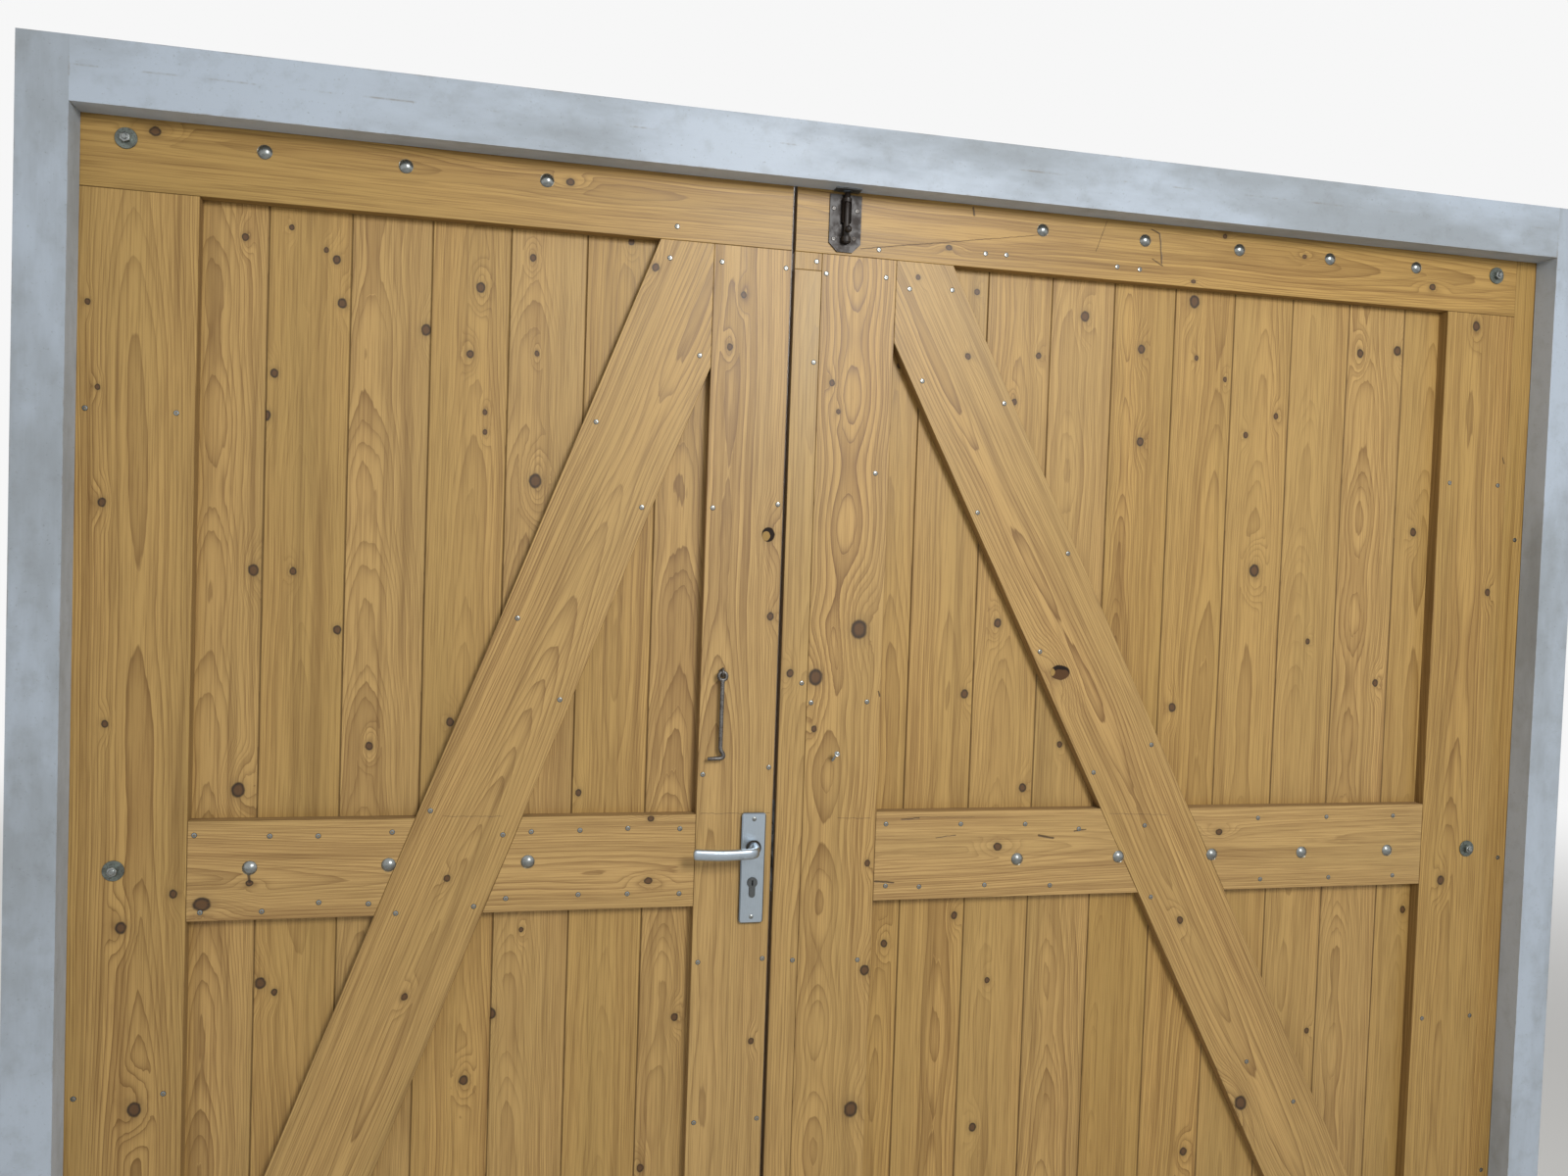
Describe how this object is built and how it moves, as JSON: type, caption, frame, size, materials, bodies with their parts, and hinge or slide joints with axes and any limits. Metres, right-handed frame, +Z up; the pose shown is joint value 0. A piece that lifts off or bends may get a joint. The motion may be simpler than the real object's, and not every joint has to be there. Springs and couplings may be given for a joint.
{
  "type": "double timber garage door",
  "caption": "Pair of outward-opening boarded timber garage doors with stiles, rails and diagonal braces, hung on strap hinges in a rebated frame, with lever lock, hook and tower bolt.",
  "frame": {"origin": "middle of the left post's foot on the floor, left as seen from the room", "axes": "+X across the doorway to the right as seen from the room, +Y towards the outside, +Z up"},
  "size_m": [2.589, 0.148, 2.206],
  "materials": {
    "varnished_pine": "satin varnish",
    "white_timber": "aged white paint",
    "galvanised_steel": "galvanised",
    "zinc_steel": "bright zinc",
    "satin_aluminium": "satin",
    "lock_steel": "plain steel",
    "nickel_brass": "dulled nickel plate",
    "dark_steel": "dark old steel",
    "brown_iron": "dark brown enamel"
  },
  "bodies": {
    "frame": {"left_post": "white_timber", "right_post": "white_timber", "head": "white_timber", "head_stop": "white_timber", "keep_plate": "galvanised_steel", "pintles": "galvanised_steel"},
    "left_leaf": {"left_board_01": "varnished_pine", "left_board_02": "varnished_pine", "left_board_03": "varnished_pine", "left_board_04": "varnished_pine", "left_board_05": "varnished_pine", "left_board_06": "varnished_pine", "left_board_07": "varnished_pine", "left_board_08": "varnished_pine", "left_cut_boards": "varnished_pine", "left_hinge_stile": "varnished_pine", "left_meeting_stile": "varnished_pine", "left_top_rail": "varnished_pine", "left_mid_rail": "varnished_pine", "left_bottom_rail": "varnished_pine", "left_brace": "varnished_pine", "left_straps": "galvanised_steel", "left_strap_bolts": "zinc_steel", "left_nuts_and_washers": "zinc_steel", "lever_plates": "satin_aluminium", "lock_case": "lock_steel", "lock_cylinder": "nickel_brass", "hook_eye": "dark_steel"},
    "right_leaf": {"right_board_01": "varnished_pine", "right_board_02": "varnished_pine", "right_board_03": "varnished_pine", "right_board_04": "varnished_pine", "right_board_05": "varnished_pine", "right_board_06": "varnished_pine", "right_board_07": "varnished_pine", "right_board_08": "varnished_pine", "right_board_09": "varnished_pine", "right_board_10": "varnished_pine", "right_board_11": "varnished_pine", "right_cut_boards": "varnished_pine", "right_hinge_stile": "varnished_pine", "right_edge_strips": "varnished_pine", "right_meeting_stile": "varnished_pine", "right_meeting_strip": "varnished_pine", "right_top_rail": "varnished_pine", "right_mid_rail": "varnished_pine", "right_bottom_rail": "varnished_pine", "right_brace": "varnished_pine", "right_straps": "galvanised_steel", "right_strap_bolts": "zinc_steel", "right_nuts_and_washers": "zinc_steel", "strike_plate": "galvanised_steel", "tower_bolt_plate": "brown_iron"},
    "lever": {"levers": "satin_aluminium", "spindle": "lock_steel"},
    "latch": {"latch_bolt": "lock_steel"},
    "deadbolt": {"deadbolt": "lock_steel"},
    "plug": {"cylinder_plug": "nickel_brass"},
    "hook": {"cabin_hook": "dark_steel"},
    "tower_bolt": {"tower_bolt_rod": "brown_iron"}
  },
  "joints": [
    {"name": "left_leaf_swing", "type": "hinge", "parent": "frame", "child": "left_leaf", "pos_m": [0.02, 0.05705, 1.05], "axis": [0, 0, 1], "range_deg": [0, 165]},
    {"name": "right_leaf_swing", "type": "hinge", "parent": "frame", "child": "right_leaf", "pos_m": [2.502, 0.05705, 1.05], "axis": [0, 0, -1], "range_deg": [0, 165]},
    {"name": "lever_turn", "type": "hinge", "parent": "left_leaf", "child": "lever", "pos_m": [1.0375, 0, 1.05], "axis": [0, -1, 0], "range_deg": [0, 40], "stiffness_Nm_per_rad": 1.5, "springref_deg": -28.65},
    {"name": "latch_slide", "type": "slide", "parent": "left_leaf", "child": "latch", "axis": [-1, 0, 0], "range_m": [0, 0.0051]},
    {"name": "plug_turn", "type": "hinge", "parent": "left_leaf", "child": "plug", "pos_m": [1.0375, 0, 0.993], "axis": [0, 1, 0], "range_deg": [0, 360]},
    {"name": "deadbolt_slide", "type": "slide", "parent": "left_leaf", "child": "deadbolt", "axis": [1, 0, 0], "range_m": [0, 0.0181]},
    {"name": "hook_swing", "type": "hinge", "parent": "left_leaf", "child": "hook", "pos_m": [0.9775, -0.01, 1.328], "axis": [0, 1, 0], "range_deg": [-70, 70]},
    {"name": "tower_bolt_slide", "type": "slide", "parent": "right_leaf", "child": "tower_bolt", "axis": [0, 0, 1], "range_m": [0, 0.026]}
  ],
  "couplings": [
    {"joint": "latch_slide", "follows": "lever_turn", "m_per_rad": 0.007162},
    {"joint": "deadbolt_slide", "follows": "plug_turn", "m_per_rad": 0.0028648}
  ]
}
